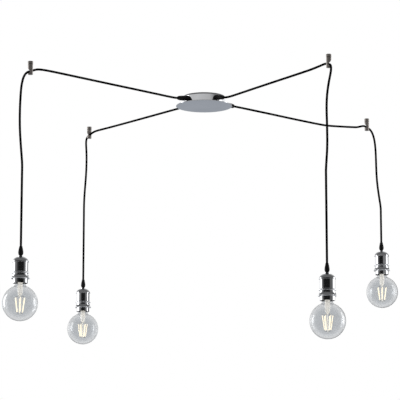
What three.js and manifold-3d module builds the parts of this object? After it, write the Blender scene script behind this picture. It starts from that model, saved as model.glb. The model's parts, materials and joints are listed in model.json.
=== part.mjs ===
// A pendant light whose four cables spread from one ceiling rose over four ceiling hooks.
// Millimetres, +Z up. The origin is the middle of the rose's face on the ceiling, +Y points away
// from the viewer and every piece hangs below z = 0.
import * as THREE from 'three';
import { mergeVertices } from 'three/addons/utils/BufferGeometryUtils.js';
import Module from 'manifold-3d';

const wasm = await Module();
wasm.setup();

// Clearances and the overrun of a cutting tool
const seatGap = 0.3;
const jointGap = 0.4;
const ringGap = 0.5;
const slotGap = 1.6;
const threadGap = 0.5;
const cutOverrun = 2;

// Facets of the round pieces, as counts
const facets = { rose: 36, lamp: 16, globe: 18, post: 16, grip: 10, stem: 6, stick: 4, wire: 3, seat: 3 };

// The flexible cable
const cable = { radius: 3.1, sides: 8, stepDiameters: 2.3, endRound: 2.2, endRings: 1 };

// The ceiling rose: a cup on a bracket, closed from below by a wide flat disc
const cup = { radius: 62, depth: 26.2, wall: 1.2, floor: 1.2, rimFillet: 0.6 };
const disc = { radius: 81, thickness: 1.5, edge: 0.4, bossRadius: 5, bossHeight: 3 };
const bracket = { width: 18, thickness: 2, earDepth: 19, wallGap: 4, screwRadius: 2, screwFlush: 0.2 };
const bracketSlot = { reach: 36, radius: 2.2, length: 8 };
const block = { length: 30, width: 16, height: 12 };

// The strain relief in the cup's wall, in order from its nut inside to its tip outside
const cupGrip = {
  height: 14,
  nutRadius: 6,
  nutLength: 4,
  neckRadius: 4.3,
  flangeRadius: 7.6,
  flangeLength: 4.5,
  waistRadius: 7.4,
  tipRadius: 3.9,
  length: 40,
  wallSeat: 0.6,
};

// The hook that turns a cable down: a turned post with a slanted slot in its side
const hook = {
  radius: 6.8,
  height: 36.6,
  collarRadius: 7.1,
  collarHeight: 8,
  grooveDepth: 0.6,
  grooveHeight: 0.8,
  chamfer: 0.8,
  seatDepth: 27,
  slotSlope: THREE.MathUtils.degToRad(21.8),
  mouthSlope: THREE.MathUtils.degToRad(43),
};

// The lampholder, from its lower rim up
const shell = {
  radius: 20.3,
  threadRadius: 19.8,
  innerRadius: 18.5,
  threadHeight: 30.2,
  height: 55.4,
  chamfer: 0.4,
};
const upperRing = { bottom: 26.2, height: 3.6, radius: 22.5, chamfer: 0.6 };
const lowerRing = {
  bottom: 11.8,
  height: 9.9,
  topRadius: 21.8,
  radius: 24.4,
  lip: 2.4,
  throat: 4.6,
  wall: 1.2,
};
const cap = {
  height: 16.6,
  radius: 21.8,
  rim: 1.8,
  nippleRadius: 7,
  nippleHeight: 2.4,
  boreRadius: 4,
  wall: 1.4,
};
const lampGrip = {
  neckRadius: 3.4,
  neckDepth: 5,
  neckRise: 1.6,
  bellyRadius: 7.1,
  length: 25.6,
  tipRadius: 4.5,
};
const core = { bottom: 12, top: 50, boreTop: 42.8, stemGap: 0.4 };
const contact = { headRadius: 4.5, headHeight: 1.4, stemRadius: 2.7, stemHeight: 5 };

// The globe bulb: its screw base, its glass and the stem with the glowing sticks inside
const base = {
  radius: 13.3,
  wall: 0.8,
  bottom: 13,
  shoulder: 35.8,
  tip: 40,
  tipRadius: 4,
  tipHeight: 1.2,
  roof: 34,
};
const globe = { radius: 47.5, neckGap: 5, wall: 1, neckTop: 20, throat: 12 };
const stem = { flareTop: 19, flareHeight: 5, radius: 7, taperTop: -20, tip: -34, tipRadius: 2.2 };
const sticks = {
  count: 6,
  radius: 1.1,
  topSpread: 15,
  footSpread: 8.2,
  top: -37,
  foot: -78,
  wire: 0.6,
  hub: 1.6,
};

// Profile points of curved outlines, as shares of the width and the height that they span
const capDomeShares = [[0.36, 0.94], [0.63, 0.7], [0.88, 0.28]];
const capInsideShares = [[0.4, 0.84], [0.75, 0.45]];
const neckFlareShares = [[0.36, 0.36]];
const gripBellyShares = [[0.93, 0.24], [1, 0.36]];
const gripNeckingShares = [[0.62, 0.7], [0.16, 0.96]];
const cupGripTaperShares = [[0.95, 0.55], [0.6, 0.84]];
const globeStartAngle = THREE.MathUtils.degToRad(22);
const globeRings = { outside: 7, inside: 4 };

// Where each pendant hangs: its hook's bearing and reach from the middle of the rose, how far its grip
// droops, the turn of the hook's slot and the side it opens to (1 for left of the bearing, -1 for
// right), the plumb line that the lamp hangs on, the depth where the cable starts to hang straight,
// and the drop from the ceiling to the foot of the bulb
const frontLeft = {
  bearing: THREE.MathUtils.degToRad(222),
  reach: 629,
  gripDroop: THREE.MathUtils.degToRad(7.5),
  slotTurn: 0,
  slotSide: -1,
  plumbReach: 651.5,
  plumbSide: 0,
  straightDepth: 300,
  drop: 704,
};
const frontRight = {
  bearing: THREE.MathUtils.degToRad(303.5),
  reach: 597,
  gripDroop: THREE.MathUtils.degToRad(11),
  slotTurn: THREE.MathUtils.degToRad(-12),
  slotSide: 1,
  plumbReach: 603.2,
  plumbSide: -18.1,
  straightDepth: 330,
  drop: 760,
};
const backLeft = {
  bearing: THREE.MathUtils.degToRad(130.9),
  reach: 541,
  gripDroop: THREE.MathUtils.degToRad(1),
  slotTurn: 0,
  slotSide: 1,
  plumbReach: 564,
  plumbSide: 0,
  straightDepth: 262,
  drop: 673,
};
const backRight = {
  bearing: THREE.MathUtils.degToRad(30.6),
  reach: 575,
  gripDroop: THREE.MathUtils.degToRad(3.5),
  slotTurn: 0,
  slotSide: 1,
  plumbReach: 622,
  plumbSide: 0,
  straightDepth: 285,
  drop: 575,
};

// Each cable's route past its grip, over the hook and down to where it hangs straight, as points
// [along the bearing, across it, up]
const frontLeftRoute = [
  [112, 0, -19.8], [130, 0, -20.1], [180, 0, -19.6], [240, 0, -19], [310, 0, -18.4],
  [380, 0, -17.8], [450, 0, -17.1], [510, 0, -16.5], [560, 0, -16.2], [590, 0, -16.9],
  [607, 0, -19], [621, 0, -24.2], [629, 0, -27.4], [637, 0, -30.6], [645, 0, -37.1], [651.6, 0, -48],
  [656.4, 0, -64], [659.3, 0, -84], [660.8, 0, -107], [661.7, 0, -132], [661.9, 0, -158],
  [661.2, 0, -184], [659.4, 0, -210], [656.8, 0, -236], [654.1, 0, -260], [652.2, 0, -278],
  [651.5, 0, -290], [651.5, 0, -300],
];
const frontRightRoute = [
  [112, 0, -23], [130, 0, -24.6], [180, 0, -25.1], [240, 0, -25.1], [310, 0, -25.2],
  [380, 0, -25.4], [450, 0, -25.6], [520, 0, -25.4], [555, 0.8, -23.6], [575, 2.2, -22],
  [589.2, 1.7, -23.8], [597, 0, -27], [604.8, -1.7, -30.2], [610.6, -3.4, -36],
  [613.4, -5.4, -46.5], [613, -7.9, -60.5], [610.8, -10.4, -77], [608.4, -12.6, -96],
  [606.8, -14.4, -116], [605.9, -15.4, -138], [605.6, -15.4, -162], [605.6, -14.8, -188],
  [605.6, -14.5, -214], [605.6, -14.5, -240], [605.1, -15.2, -264], [604.3, -16.4, -286],
  [603.6, -17.5, -304], [603.2, -18.1, -318], [603.2, -18.1, -330],
];
const backLeftRoute = [
  [116, 0, -14.9], [135, 0, -15.1], [180, 0, -15.6], [240, 0, -16.3], [300, 0, -17],
  [360, 0, -17.6], [420, 0, -18.1], [470, 0, -18.2], [500, 0, -18.3], [518, 0, -19.6],
  [533, 0, -23.8], [541, 0, -27], [549, 0, -30.3], [554.6, 0, -36.4], [556.7, 0, -45.8],
  [556.1, 0, -58.5], [554.6, 0, -75.5], [553.6, 0, -94], [553.7, 0, -115], [554.6, 0, -138],
  [556.8, 0, -163], [559.6, 0, -188], [562, 0, -211], [563.5, 0, -232], [564, 0, -249],
  [564, 0, -262],
];
const backRightRoute = [
  [116, 0, -17.1], [135, 0, -18.3], [180, 0, -21.4], [240, 0, -25.6], [300, 0, -30], [360, 0, -34],
  [400, 0, -36.4], [425, 0, -37.2], [450, 0, -36.4], [490, 0, -34], [520, 0, -31.9],
  [537, 0, -30.3], [549, 0, -27.3], [558, 0, -24.6], [567, 0, -23.9], [575, 0, -27], [583, 0, -30.2],
  [590.5, 0, -36.5], [597, 0, -47], [601.5, 0, -61], [604.5, 0, -78], [606.2, 0, -98],
  [607, 0, -122], [607.5, 0, -146], [608.3, 0, -170], [610.3, 0, -195], [613.6, 0, -220],
  [617.4, 0, -243], [620.6, 0, -261], [622, 0, -274], [622, 0, -285],
];
const pendants = [
  { ...frontLeft, route: frontLeftRoute },
  { ...frontRight, route: frontRightRoute },
  { ...backLeft, route: backLeftRoute },
  { ...backRight, route: backRightRoute },
];

// Levels and reaches that follow from the sizes
const cupInner = cup.radius - cup.wall;
const gripTip = cup.radius + cupGrip.length;
const nutFace = cupInner - cupGrip.wallSeat - cupGrip.nutLength;
const flangeStart = cup.radius + cupGrip.wallSeat;
const sleeveStart = flangeStart + cupGrip.flangeLength / 2;
const sleeveLength = gripTip - sleeveStart;
const discTop = -(cup.depth + seatGap);
const blockTop = -(bracket.thickness + seatGap);
const capBottom = shell.height + seatGap;
const capTop = capBottom + cap.height;
const gripBottom = capTop - lampGrip.neckDepth;
const gripTop = capTop + lampGrip.length;
const coreRadius = shell.innerRadius - seatGap;
const coreBore = base.radius + threadGap;
const contactHole = contact.stemRadius + core.stemGap;
const globeCentre = -(globe.neckGap + globe.radius);
const glassNeck = base.radius - base.wall - seatGap;
const stemFlare = glassNeck - globe.wall - seatGap;
const bulbReach = globe.neckGap + 2 * globe.radius;
const contactBottom = base.tip + seatGap;
const slotRadius = cable.radius + slotGap;

// Finishes
const chrome = new THREE.MeshStandardMaterial({ color: 0xc9cdd2, roughness: 0.08, metalness: 1 });
const steel = new THREE.MeshStandardMaterial({ color: 0xa9acae, roughness: 0.35, metalness: 1 });
const nickel = new THREE.MeshStandardMaterial({ color: 0x6e6862, roughness: 0.32, metalness: 1 });
const blackPlastic = new THREE.MeshStandardMaterial({ color: 0x111213, roughness: 0.45, metalness: 0 });
const textile = new THREE.MeshStandardMaterial({ color: 0x0b0b0c, roughness: 0.9, metalness: 0 });
const ceramic = new THREE.MeshStandardMaterial({ color: 0xe9e6df, roughness: 0.4, metalness: 0 });
const brass = new THREE.MeshStandardMaterial({ color: 0xc9a24a, roughness: 0.3, metalness: 1 });
const glass = new THREE.MeshStandardMaterial({ color: 0xc8cdd0, roughness: 0.03, metalness: 0 });
const filamentGlow = new THREE.MeshStandardMaterial({ color: 0xfff2d0, roughness: 0.5, metalness: 0 });

// A solid turned about Z from [radius, height] points that run up its outside and down its inside
function turned(points, segments) {
  const outline = points.map(([radius, height]) => new THREE.Vector2(radius, height));
  return new THREE.LatheGeometry(outline, segments).rotateX(Math.PI / 2);
}

// A turned tube or ring, whose outline closes on itself
function turnedRing(points, segments) {
  return turned([...points, points[0]], segments);
}

// Points between two corners of an outline, placed by shares of the width and the height between them
function between(shares, fromRadius, toRadius, fromHeight, toHeight) {
  return shares.map(([wide, high]) => [
    THREE.MathUtils.lerp(fromRadius, toRadius, wide),
    THREE.MathUtils.lerp(fromHeight, toHeight, high),
  ]);
}

// A closed geometry as a solid that can be joined and cut
function solidOf(geometry) {
  const bare = geometry.clone();
  bare.deleteAttribute('normal');
  bare.deleteAttribute('uv');
  const merged = mergeVertices(bare);
  const vertProperties = new Float32Array(merged.attributes.position.array);
  const triVerts = new Uint32Array(merged.index.array);
  return new wasm.Manifold(new wasm.Mesh({ numProp: 3, vertProperties, triVerts }));
}

function geometryOf(solid) {
  const mesh = solid.getMesh();
  const geometry = new THREE.BufferGeometry();
  geometry.setAttribute('position', new THREE.BufferAttribute(mesh.vertProperties, 3));
  geometry.setIndex(new THREE.BufferAttribute(mesh.triVerts, 1));
  geometry.computeVertexNormals();
  return geometry;
}

function cutFrom(body, tools) {
  return geometryOf(tools.reduce((left, tool) => left.subtract(solidOf(tool)), solidOf(body)));
}

function joined(pieces) {
  return geometryOf(pieces.slice(1).reduce((sum, piece) => sum.add(solidOf(piece)), solidOf(pieces[0])));
}

// A cylinder along +X from one reach to another
function rodAlongX(radius, from, to, segments) {
  const rod = new THREE.CylinderGeometry(radius, radius, to - from, segments);
  return rod.rotateZ(-Math.PI / 2).translate((from + to) / 2, 0, 0);
}

// A thin bar between two points
function bar(from, to, radius, segments) {
  const axis = new THREE.Vector3().subVectors(to, from);
  const alongY = new THREE.Vector3(0, 1, 0);
  const turn = new THREE.Quaternion().setFromUnitVectors(alongY, axis.clone().normalize());
  const rod = new THREE.CylinderGeometry(radius, radius, axis.length(), segments);
  return rod.applyQuaternion(turn).translate(...from.clone().add(to).multiplyScalar(0.5).toArray());
}

// The many-sided section of a cable
function cableSection() {
  const corners = [];
  for (let i = 0; i < cable.sides; i += 1) {
    const angle = (2 * Math.PI * i) / cable.sides;
    corners.push(new THREE.Vector2(cable.radius * Math.cos(angle), cable.radius * Math.sin(angle)));
  }
  return new THREE.Shape(corners);
}

function cableSteps(length) {
  return Math.round(length / (2 * cable.radius * cable.stepDiameters));
}

// The cable's tube along a list of points
function cableAlong(points) {
  const places = points.map((point) => new THREE.Vector3(...point));
  const route = new THREE.CatmullRomCurve3(places, false, 'centripetal');
  const steps = cableSteps(route.getLength());
  return new THREE.ExtrudeGeometry(cableSection(), { steps, extrudePath: route });
}

// A straight hanging cable with rounded ends, which the lamp swings and tilts about
function hangingCable(top, bottom) {
  const straight = top - bottom - 2 * cable.endRound;
  const geometry = new THREE.ExtrudeGeometry(cableSection(), {
    depth: straight,
    steps: cableSteps(straight),
    bevelEnabled: true,
    bevelThickness: cable.endRound,
    bevelSize: cable.endRound,
    bevelOffset: -cable.endRound,
    bevelSegments: cable.endRings,
  });
  return geometry.translate(0, 0, bottom + cable.endRound);
}

// The strap on the ceiling, with an ear at each end whose screw holds the cup
function ceilingBracket() {
  const earFace = cupInner - bracket.wallGap;
  const strap = new THREE.BoxGeometry(2 * earFace, bracket.width, bracket.thickness)
    .translate(0, 0, -bracket.thickness / 2);
  const pieces = [strap];
  for (const side of [1, -1]) {
    const ear = new THREE.BoxGeometry(bracket.thickness, bracket.width, bracket.earDepth)
      .translate(earFace - bracket.thickness / 2, 0, -bracket.earDepth / 2);
    const screw = rodAlongX(
      bracket.screwRadius, earFace - bracket.thickness, cup.radius - bracket.screwFlush, facets.grip,
    ).translate(0, 0, -cupGrip.height);
    pieces.push(side > 0 ? ear : ear.rotateZ(Math.PI), side > 0 ? screw : screw.rotateZ(Math.PI));
  }
  const slots = [1, -1].map((side) => {
    const slot = new THREE.CylinderGeometry(
      bracketSlot.radius, bracketSlot.radius, bracket.thickness + cutOverrun, facets.grip,
    ).rotateX(Math.PI / 2);
    return slot.scale(bracketSlot.length / (2 * bracketSlot.radius), 1, 1)
      .translate(side * bracketSlot.reach, 0, -bracket.thickness / 2);
  });
  return cutFrom(joined(pieces), slots);
}

// The cup, open to the ceiling, with a hole in its wall for each grip and each bracket screw
function canopyCup() {
  const bossHole = disc.bossRadius + seatGap;
  const body = turnedRing([
    [bossHole, -cup.depth],
    [cup.radius - cup.rimFillet, -cup.depth],
    [cup.radius, -cup.depth + cup.rimFillet],
    [cup.radius, 0],
    [cupInner, 0],
    [cupInner, -cup.depth + cup.floor],
    [bossHole, -cup.depth + cup.floor],
  ], facets.rose);
  const wallFrom = cupInner - cutOverrun;
  const wallTo = cup.radius + cutOverrun;
  const gripHoles = pendants.map(({ bearing }) =>
    rodAlongX(cupGrip.neckRadius + seatGap, wallFrom, wallTo, facets.grip)
      .translate(0, 0, -cupGrip.height)
      .rotateZ(bearing));
  const screwHoles = [0, Math.PI].map((turn) =>
    rodAlongX(bracket.screwRadius + seatGap, wallFrom, wallTo, facets.grip)
      .translate(0, 0, -cupGrip.height)
      .rotateZ(turn));
  return cutFrom(body, [...gripHoles, ...screwHoles]);
}

// The wide disc under the cup, with the boss that centres it
function canopyDisc() {
  const bottom = discTop - disc.thickness;
  return turned([
    [0, bottom],
    [disc.radius - disc.edge, bottom],
    [disc.radius, bottom + disc.edge],
    [disc.radius, discTop],
    [disc.bossRadius, discTop],
    [disc.bossRadius, discTop + disc.bossHeight],
    [0, discTop + disc.bossHeight],
  ], facets.rose);
}

// The terminal block under the strap, with the four cable ends that run to it
function terminalBlock() {
  const box = new THREE.BoxGeometry(block.length, block.width, block.height)
    .translate(0, 0, blockTop - block.height / 2);
  const leadEnd = nutFace - seatGap;
  const middle = blockTop - block.height / 2;
  const leads = pendants.map(({ bearing }) => {
    const lead = cableAlong([
      [0, 0, middle],
      [block.width, 0, middle],
      [leadEnd - block.width, 0, -cupGrip.height],
      [leadEnd, 0, -cupGrip.height],
    ]);
    return lead.rotateZ(bearing);
  });
  return joined([box, ...leads]);
}

// The strain relief through the cup's wall: nut, neck and flange, and a tapering sleeve that droops
function cupGripBody(droop) {
  const nutEnd = nutFace + cupGrip.nutLength;
  const flangeEnd = flangeStart + cupGrip.flangeLength;
  const collar = turned([
    [0, nutFace],
    [cupGrip.nutRadius, nutFace],
    [cupGrip.nutRadius, nutEnd],
    [cupGrip.neckRadius, nutEnd],
    [cupGrip.neckRadius, flangeStart],
    [cupGrip.flangeRadius, flangeStart],
    [cupGrip.flangeRadius, flangeEnd],
    [0, flangeEnd],
  ], facets.grip).rotateY(Math.PI / 2);
  const sleeve = turned([
    [0, 0],
    [cupGrip.waistRadius, 0],
    ...between(cupGripTaperShares, cupGrip.tipRadius, cupGrip.waistRadius, 0, sleeveLength),
    [cupGrip.tipRadius, sleeveLength],
    [0, sleeveLength],
  ], facets.grip).rotateY(Math.PI / 2 + droop).translate(sleeveStart, 0, 0);
  return joined([collar, sleeve]).translate(0, 0, -cupGrip.height);
}

// Where the cable starts, just past the tip of a drooping sleeve
function gripMouth(droop) {
  const reach = sleeveLength + seatGap;
  return [sleeveStart + reach * Math.cos(droop), 0, -cupGrip.height - reach * Math.sin(droop)];
}

// The ceiling hook: a turned post, cut by a slot that slants in from one side down to the cable's seat
function hookPost(side) {
  const collarBottom = -hook.collarHeight;
  const grooveBottom = collarBottom - hook.grooveHeight;
  const post = turned([
    [0, -hook.height],
    [hook.radius - hook.chamfer, -hook.height],
    [hook.radius, -hook.height + hook.chamfer],
    [hook.radius, grooveBottom],
    [hook.radius - hook.grooveDepth, grooveBottom],
    [hook.radius - hook.grooveDepth, collarBottom],
    [hook.collarRadius, collarBottom],
    [hook.collarRadius, 0],
    [0, 0],
  ], facets.post);
  const mouthSlope = side > 0 ? hook.mouthSlope : Math.PI - hook.mouthSlope;
  const mouthLength = 2 * hook.radius + cutOverrun;
  const slot = new THREE.Shape();
  slot.absarc(0, 0, slotRadius, mouthSlope + Math.PI / 2, mouthSlope - Math.PI / 2, false);
  slot.lineTo(
    mouthLength * Math.cos(mouthSlope) + slotRadius * Math.sin(mouthSlope),
    mouthLength * Math.sin(mouthSlope) - slotRadius * Math.cos(mouthSlope),
  );
  slot.lineTo(
    mouthLength * Math.cos(mouthSlope) - slotRadius * Math.sin(mouthSlope),
    mouthLength * Math.sin(mouthSlope) + slotRadius * Math.cos(mouthSlope),
  );
  const depth = 2 * hook.height;
  const tool = new THREE.ExtrudeGeometry(slot, { depth, bevelEnabled: false, curveSegments: facets.seat })
    .translate(0, 0, -depth / 2);
  const across = new THREE.Vector3(0, 1, 0);
  const up = new THREE.Vector3(0, 0, 1);
  const along = new THREE.Vector3(1, 0, 0);
  tool.applyMatrix4(new THREE.Matrix4().makeBasis(across, up, along));
  tool.rotateY(hook.slotSlope).translate(0, 0, -hook.seatDepth);
  return cutFrom(post, [tool]);
}

// The holder's cord grip: a neck in the cap's nipple, and a belly that thins towards the cable
function lampGripBody() {
  const neckTop = capTop + lampGrip.neckRise;
  return turned([
    [0, gripBottom],
    [lampGrip.neckRadius, gripBottom],
    [lampGrip.neckRadius, neckTop],
    ...between(gripBellyShares, lampGrip.neckRadius, lampGrip.bellyRadius, neckTop, gripTop),
    ...between(gripNeckingShares, lampGrip.tipRadius, lampGrip.bellyRadius, neckTop, gripTop),
    [lampGrip.tipRadius, gripTop],
    [0, gripTop],
  ], facets.grip);
}

// The domed cap with the nipple that takes the grip
function capDome() {
  const rimTop = capBottom + cap.rim;
  const nippleBottom = capTop - cap.nippleHeight;
  const innerRadius = cap.radius - cap.wall;
  const innerTop = nippleBottom - cap.wall;
  const outside = between(capDomeShares, cap.nippleRadius, cap.radius, rimTop, nippleBottom);
  const inside = between(capInsideShares, cap.boreRadius, innerRadius, rimTop, innerTop);
  return turnedRing([
    [innerRadius, capBottom],
    [cap.radius, capBottom],
    [cap.radius, rimTop],
    ...outside.reverse(),
    [cap.nippleRadius, nippleBottom],
    [cap.nippleRadius, capTop],
    [cap.boreRadius, capTop],
    [cap.boreRadius, innerTop],
    ...inside,
    [innerRadius, rimTop],
  ], facets.lamp);
}

// The metal shell that the rings turn on
function holderShell() {
  return turnedRing([
    [shell.innerRadius, 0],
    [shell.threadRadius - shell.chamfer, 0],
    [shell.threadRadius, shell.chamfer],
    [shell.threadRadius, shell.threadHeight],
    [shell.radius, shell.threadHeight + shell.chamfer],
    [shell.radius, shell.height],
    [shell.innerRadius, shell.height],
  ], facets.lamp);
}

function upperRingBody() {
  const top = upperRing.bottom + upperRing.height;
  const bore = shell.threadRadius + ringGap;
  return turnedRing([
    [bore, upperRing.bottom],
    [upperRing.radius - upperRing.chamfer, upperRing.bottom],
    [upperRing.radius, upperRing.bottom + upperRing.chamfer],
    [upperRing.radius, top],
    [bore, top],
  ], facets.lamp);
}

// The lower ring: a collar on the thread that flares down to a lip
function lowerRingBody() {
  const top = lowerRing.bottom + lowerRing.height;
  const bore = shell.threadRadius + ringGap;
  return turnedRing([
    [bore, lowerRing.bottom + lowerRing.throat],
    [bore + lowerRing.wall, lowerRing.bottom + lowerRing.throat],
    [lowerRing.radius - lowerRing.wall, lowerRing.bottom],
    [lowerRing.radius, lowerRing.bottom],
    [lowerRing.radius, lowerRing.bottom + lowerRing.lip],
    [lowerRing.topRadius, top - lowerRing.lip],
    [lowerRing.topRadius, top],
    [bore, top],
  ], facets.lamp);
}

// The insulating core with the bore that the bulb screws into
function holderCore() {
  return turnedRing([
    [coreBore, core.bottom],
    [coreRadius, core.bottom],
    [coreRadius, core.top],
    [contactHole, core.top],
    [contactHole, core.boreTop],
    [coreBore, core.boreTop],
  ], facets.post);
}

// The sprung contact that follows the bulb's tip
function centreContact() {
  const headTop = contactBottom + contact.headHeight;
  return turned([
    [0, contactBottom],
    [contact.headRadius, contactBottom],
    [contact.headRadius, headTop],
    [contact.stemRadius, headTop],
    [contact.stemRadius, headTop + contact.stemHeight],
    [0, headTop + contact.stemHeight],
  ], facets.grip);
}

function bulbBase() {
  const inner = base.radius - base.wall;
  return turned([
    [0, base.roof],
    [inner, base.roof],
    [inner, base.bottom],
    [base.radius, base.bottom],
    [base.radius, base.shoulder],
    [base.tipRadius, base.tip - base.tipHeight],
    [base.tipRadius, base.tip],
    [0, base.tip],
  ], facets.post);
}

// One face of the glass, from the foot of the globe up to the mouth of the neck
function glassFace(radius, neckRadius, rings) {
  const face = [];
  for (let i = 0; i <= rings; i += 1) {
    const angle = THREE.MathUtils.lerp(Math.PI, globeStartAngle, i / rings);
    const ring = i === 0 ? 0 : radius * Math.sin(angle);
    face.push([ring, globeCentre + radius * Math.cos(angle)]);
  }
  const [startRadius, startHeight] = face[face.length - 1];
  face.push(...between(neckFlareShares, neckRadius, startRadius, startHeight, globe.throat));
  face.push([neckRadius, globe.throat], [neckRadius, globe.neckTop]);
  return face;
}

function bulbGlass() {
  const outside = glassFace(globe.radius, glassNeck, globeRings.outside);
  const inside = glassFace(globe.radius - globe.wall, glassNeck - globe.wall, globeRings.inside);
  return turned([...outside, ...inside.reverse()], facets.globe);
}

// The glass stem, the wire spider and the ring of glowing sticks, as one frame
function bulbFilament() {
  const flareBottom = stem.flareTop - stem.flareHeight;
  const column = turned([
    [0, sticks.foot - sticks.hub],
    [sticks.hub, sticks.foot - sticks.hub],
    [sticks.hub, stem.tip],
    [stem.tipRadius, stem.tip],
    [stem.radius, stem.taperTop],
    [stem.radius, flareBottom],
    [stemFlare, stem.flareTop],
    [0, stem.flareTop],
  ], facets.stem);
  const head = new THREE.Vector3(0, 0, stem.tip);
  const foot = new THREE.Vector3(0, 0, sticks.foot);
  const pieces = [column];
  for (let i = 0; i < sticks.count; i += 1) {
    const angle = (2 * Math.PI * i) / sticks.count;
    const outward = new THREE.Vector3(Math.cos(angle), Math.sin(angle), 0);
    const top = outward.clone().multiplyScalar(sticks.topSpread).setZ(sticks.top);
    const bottom = outward.clone().multiplyScalar(sticks.footSpread).setZ(sticks.foot);
    pieces.push(bar(top, bottom, sticks.radius, facets.stick));
    pieces.push(bar(head, top, sticks.wire, facets.wire));
    pieces.push(bar(foot, bottom, sticks.wire, facets.wire));
  }
  return joined(pieces);
}

function named(name, geometry, material) {
  const mesh = new THREE.Mesh(geometry, material);
  mesh.name = name;
  return mesh;
}

// The lampholder and its bulb, from the lower rim of the shell
function lamp(number) {
  const group = new THREE.Group();
  group.add(
    named(`lampholder_cord_grip_${number}`, lampGripBody(), blackPlastic),
    named(`lampholder_cap_${number}`, capDome(), chrome),
    named(`lampholder_shell_${number}`, holderShell(), chrome),
    named(`upper_shade_ring_${number}`, upperRingBody(), chrome),
    named(`lower_shade_ring_${number}`, lowerRingBody(), chrome),
    named(`lampholder_core_${number}`, holderCore(), ceramic),
    named(`centre_contact_${number}`, centreContact(), brass),
    named(`bulb_base_${number}`, bulbBase(), steel),
    named(`bulb_glass_${number}`, bulbGlass(), glass),
    named(`bulb_filament_${number}`, bulbFilament(), filamentGlow),
  );
  return group;
}

// One cable with its grip, its hook and its lamp, built along +X and turned to its bearing
function pendant(place, number) {
  const group = new THREE.Group();
  group.rotation.z = place.bearing;
  const post = named(`ceiling_hook_${number}`, hookPost(place.slotSide), nickel);
  post.position.x = place.reach;
  post.rotation.z = place.slotTurn;
  const lampBottom = bulbReach - place.drop;
  const straightTop = -(place.straightDepth + jointGap);
  const straightBottom = lampBottom + gripTop + jointGap;
  const hanging = new THREE.Group();
  hanging.position.set(place.plumbReach, place.plumbSide, 0);
  const fitting = lamp(number);
  fitting.position.z = lampBottom;
  hanging.add(
    named(`hanging_cable_${number}`, hangingCable(straightTop, straightBottom), textile),
    fitting,
  );
  group.add(
    named(`canopy_cord_grip_${number}`, cupGripBody(place.gripDroop), blackPlastic),
    named(`ceiling_cable_${number}`, cableAlong([gripMouth(place.gripDroop), ...place.route]), textile),
    post,
    hanging,
  );
  return group;
}

const light = new THREE.Group();
light.add(
  named('ceiling_bracket', ceilingBracket(), steel),
  named('canopy_cup', canopyCup(), chrome),
  named('canopy_disc', canopyDisc(), chrome),
  named('terminal_block', terminalBlock(), ceramic),
  ...pendants.map((place, index) => pendant(place, index + 1)),
);

export default light;
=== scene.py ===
# A pendant light with four black cables that spread from one ceiling rose over four ceiling hooks.
# Metres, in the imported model's frame: +Z up, the ceiling at z = 0, +Y away from the viewer.
import json
from math import atan2, cos, pi, radians, sin, sqrt
from types import SimpleNamespace as Sizes

import bmesh
import bpy
from mathutils import Matrix, Vector
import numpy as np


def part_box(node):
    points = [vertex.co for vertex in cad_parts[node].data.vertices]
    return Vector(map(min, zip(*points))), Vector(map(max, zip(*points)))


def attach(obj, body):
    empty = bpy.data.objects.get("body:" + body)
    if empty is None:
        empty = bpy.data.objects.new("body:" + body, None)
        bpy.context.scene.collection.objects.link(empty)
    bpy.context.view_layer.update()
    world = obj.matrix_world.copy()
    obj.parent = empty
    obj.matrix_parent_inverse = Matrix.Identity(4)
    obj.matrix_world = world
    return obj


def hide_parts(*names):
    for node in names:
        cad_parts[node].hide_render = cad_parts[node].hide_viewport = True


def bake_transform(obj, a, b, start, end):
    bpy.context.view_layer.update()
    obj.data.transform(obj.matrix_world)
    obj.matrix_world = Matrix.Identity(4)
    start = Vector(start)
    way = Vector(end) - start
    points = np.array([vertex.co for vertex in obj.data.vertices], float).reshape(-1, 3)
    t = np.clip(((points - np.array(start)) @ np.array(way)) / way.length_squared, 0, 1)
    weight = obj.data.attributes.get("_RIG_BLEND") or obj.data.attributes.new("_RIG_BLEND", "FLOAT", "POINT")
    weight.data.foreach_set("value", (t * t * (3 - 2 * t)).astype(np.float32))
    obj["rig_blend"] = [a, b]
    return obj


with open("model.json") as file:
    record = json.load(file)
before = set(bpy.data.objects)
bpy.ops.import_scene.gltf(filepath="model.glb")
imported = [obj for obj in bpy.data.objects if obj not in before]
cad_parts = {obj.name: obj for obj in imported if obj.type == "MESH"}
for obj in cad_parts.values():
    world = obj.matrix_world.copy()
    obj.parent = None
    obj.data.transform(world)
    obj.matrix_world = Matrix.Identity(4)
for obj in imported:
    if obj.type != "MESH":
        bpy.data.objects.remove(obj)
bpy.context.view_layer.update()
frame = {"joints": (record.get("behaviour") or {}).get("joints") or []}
scene = bpy.context.scene
scene.view_settings.view_transform = "Standard"

# The camera that fits the photograph: far off with a long lens, a little below the lamps
CAMERA_PLACE = (-0.0117, -5.6753, -1.3234)
CAMERA_PITCH = radians(10.19)
CAMERA_LENS = 180.9

# The flexible cable and the straight part of it that bends when a lamp swings or tilts
CABLE_RADIUS = 0.0031
CABLE_SIDES = 16
CABLE_STEP = 0.004
SWING_BEND = 0.045
SWING_OVERLAP = 0.052
TILT_BEND_ABOVE = 0.016
TILT_BEND_BELOW = 0.004
GRIP_ENTRY = 0.005

# How far apart two equal lengths may be once a mesh has stored them
ROUNDING_ERROR = 1e-6

# Rounded corners: the turn from which a corner is rounded, the most of a side that its arc takes, and
# how far from the corner, as a share of the arc's reach, a support ring keeps the side beside it flat
ROUNDED_TURN = radians(12)
ROUNDED_SHARE = 0.4
SUPPORT_SHARE = 1.2

# The turn between two faces from which their edge is drawn sharp
SHARP_ANGLE = radians(35)

# Small roundings that several sub-parts have
FINE_EDGE = 0.0003
SOFT_EDGE = 0.0004

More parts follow.
